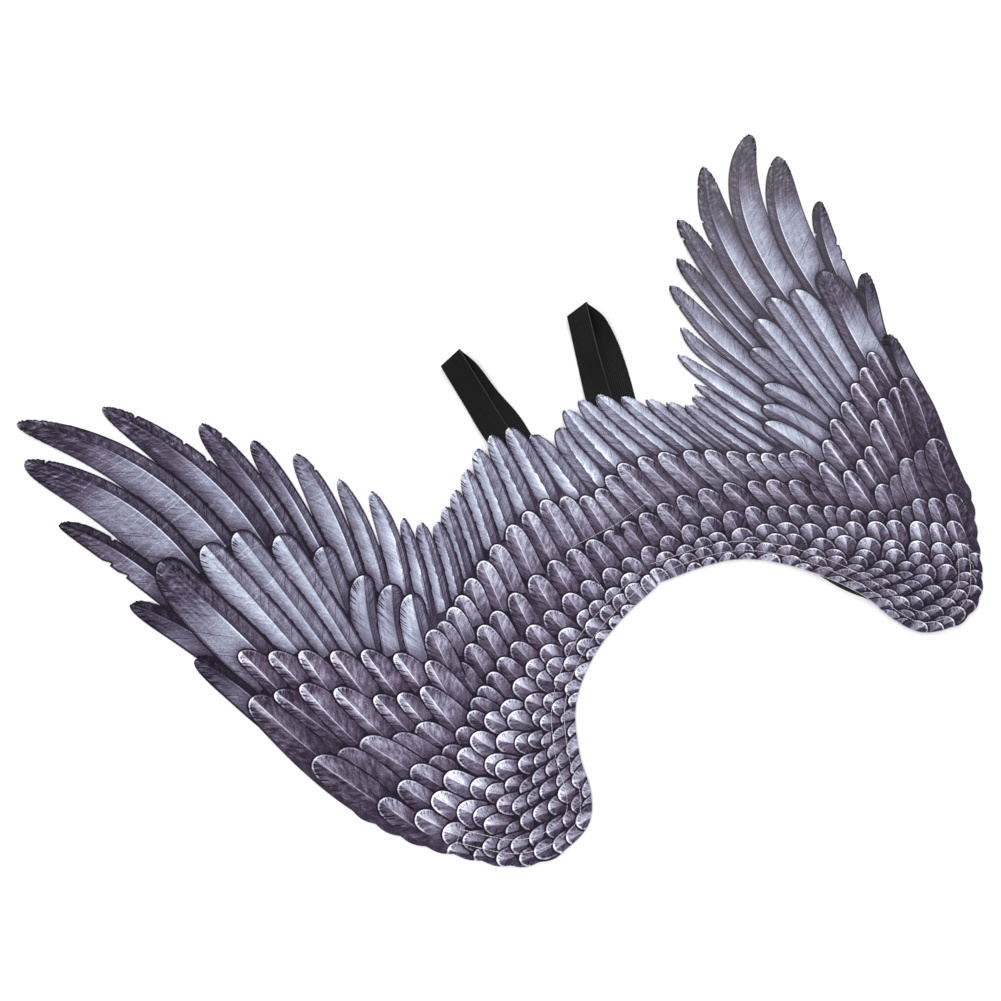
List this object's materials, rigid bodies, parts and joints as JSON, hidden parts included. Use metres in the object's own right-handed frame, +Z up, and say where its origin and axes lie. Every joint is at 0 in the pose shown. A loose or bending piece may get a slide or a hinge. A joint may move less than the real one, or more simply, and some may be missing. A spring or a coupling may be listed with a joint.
{
  "type": "costume wings",
  "caption": "Flat pair of printed cloth bird wings joined at a centre seam, with taped neck edge and elastic arm loops, worn on the back as a costume.",
  "frame": {"origin": "bottom centre of the bounding box, on the surface that the wings lie on", "axes": "+X across the span from the left wing to the right wing, +Y from the neck edge towards the feather tips, +Z up through the printed face"},
  "size_m": [1.012, 0.7042, 0.0226],
  "materials": {
    "printed_cloth": "matte woven cloth with a printed feather pattern",
    "black_tape": "matte woven tape",
    "black_elastic": "ribbed woven elastic"
  },
  "bodies": {
    "root": {"left_wing": "printed_cloth", "right_wing": "printed_cloth", "edge_tape": "black_tape", "back_patch": "printed_cloth", "strap_left": "black_elastic", "strap_right": "black_elastic"}
  },
  "joints": []
}
